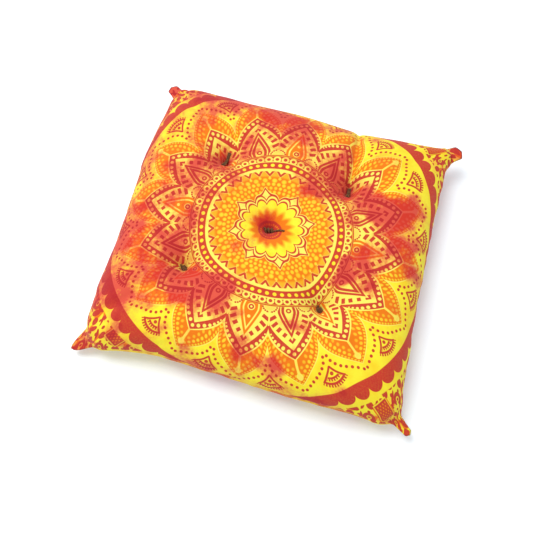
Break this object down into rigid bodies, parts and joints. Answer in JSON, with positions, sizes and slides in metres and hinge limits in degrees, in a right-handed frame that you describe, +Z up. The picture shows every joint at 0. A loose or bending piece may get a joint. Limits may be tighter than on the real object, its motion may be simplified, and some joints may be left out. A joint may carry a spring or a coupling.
{
  "type": "square tufted meditation cushion",
  "caption": "Square stuffed floor cushion with a printed cotton cover, knife-edge seam, small corner ears and yarn tufts that draw it in.",
  "frame": {"origin": "on the surface the cushion lies on, under the middle of its box", "axes": "+Z up out of the printed face, +X to the right and -Y towards the side nearest to the camera"},
  "size_m": [0.416, 0.4042, 0.0812],
  "materials": {
    "printed_cotton": "plain-weave cotton, tie-dyed yellow, orange and red, with a dark red print on top",
    "tuft_yarn": "twisted dark brown cotton yarn"
  },
  "bodies": {
    "root": {"cushion": "printed_cotton", "tie_middle": "tuft_yarn", "tie_far_left": "tuft_yarn", "tie_far_right": "tuft_yarn", "tie_near_left": "tuft_yarn", "tie_near_right": "tuft_yarn", "stitch_middle": "tuft_yarn", "stitch_far_left": "tuft_yarn", "stitch_far_right": "tuft_yarn", "stitch_near_left": "tuft_yarn", "stitch_near_right": "tuft_yarn"}
  },
  "joints": []
}
